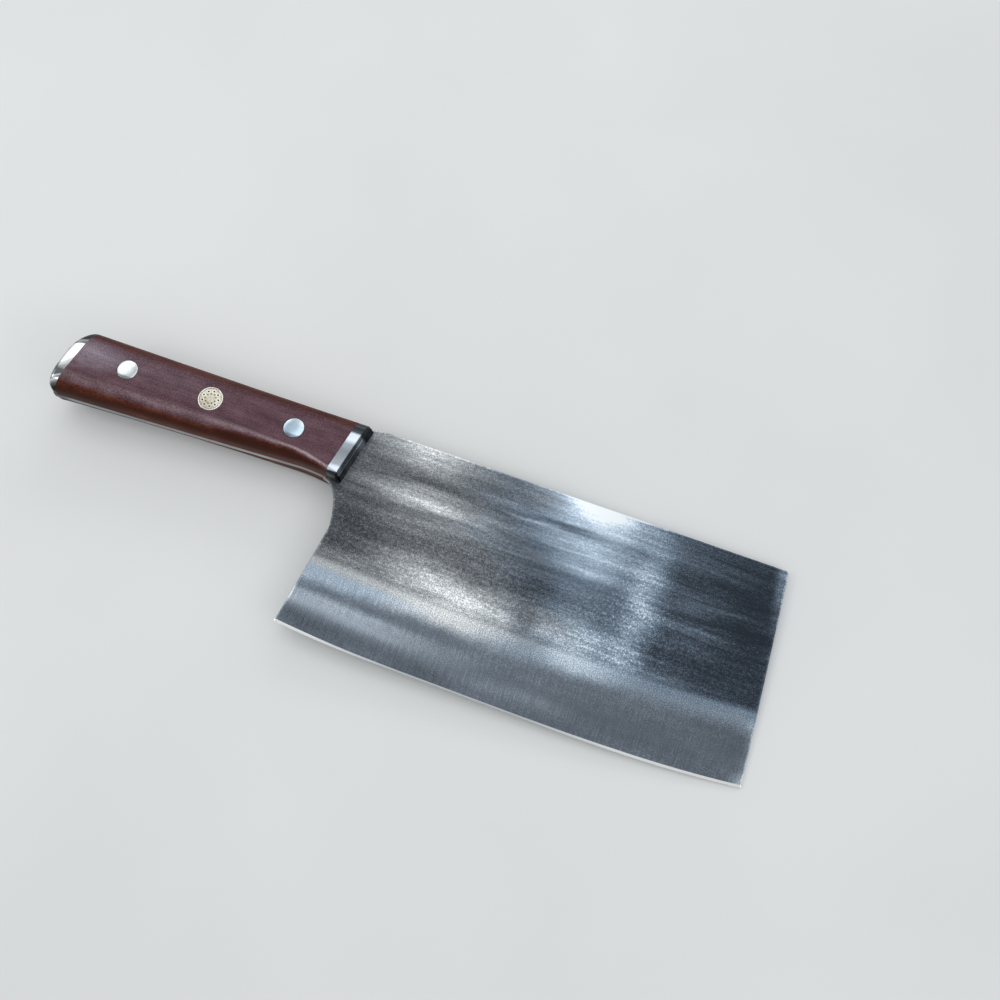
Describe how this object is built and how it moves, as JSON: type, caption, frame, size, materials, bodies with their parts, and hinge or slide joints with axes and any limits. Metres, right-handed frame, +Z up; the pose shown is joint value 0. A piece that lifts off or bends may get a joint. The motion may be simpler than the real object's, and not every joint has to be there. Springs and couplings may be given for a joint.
{
  "type": "butcher knife",
  "caption": "Heavy kitchen knife with a wide rectangular blade, full tang, riveted wood scales, mosaic pin, steel bolster and steel end cap, lying on its side.",
  "frame": {"origin": "bottom centre of the bounding box, on the surface that the knife lies on", "axes": "+X from the butt towards the blade's front end, +Y from the cutting edge towards the spine, +Z up; the knife lies as it rests, on the bolster's lower rim and the blade's front end, so the blade's plane dips about 3 degrees towards the front"},
  "size_m": [0.3114, 0.0896, 0.0251],
  "materials": {
    "blade_steel": "dark forged streaks, satin bevel",
    "bolster_steel": "brushed",
    "cap_steel": "polished",
    "rivet_steel": "polished",
    "pin_steel": "plain, hidden",
    "mosaic_brass": "pale, polished",
    "mosaic_metal": "satin",
    "rod_steel": "blackened",
    "rosewood": "oiled"
  },
  "bodies": {
    "root": {"blade_and_tang": "blade_steel", "bolster_lower": "bolster_steel", "bolster_pin_1": "pin_steel", "bolster_pin_2": "pin_steel", "bolster_upper": "bolster_steel", "cap_lower": "cap_steel", "cap_pin_1": "pin_steel", "cap_pin_2": "pin_steel", "cap_upper": "cap_steel", "front_rivet_pin": "rivet_steel", "front_rivet_tube": "rivet_steel", "mosaic_centre_1": "mosaic_brass", "mosaic_core": "mosaic_metal", "mosaic_rod_1": "rod_steel", "mosaic_rod_2": "rod_steel", "mosaic_rod_3": "rod_steel", "mosaic_rod_4": "rod_steel", "mosaic_rod_5": "rod_steel", "mosaic_rod_6": "rod_steel", "mosaic_rod_7": "rod_steel", "mosaic_rod_8": "rod_steel", "mosaic_rod_9": "rod_steel", "mosaic_tube": "mosaic_brass", "mosaic_wire_1": "rod_steel", "mosaic_wire_2": "rod_steel", "mosaic_wire_3": "rod_steel", "mosaic_wire_4": "rod_steel", "mosaic_wire_5": "rod_steel", "mosaic_wire_6": "rod_steel", "mosaic_wire_7": "rod_steel", "mosaic_wire_8": "rod_steel", "mosaic_wire_9": "rod_steel", "rear_rivet_pin": "rivet_steel", "rear_rivet_tube": "rivet_steel", "scale_lower": "rosewood", "scale_upper": "rosewood"}
  },
  "joints": []
}
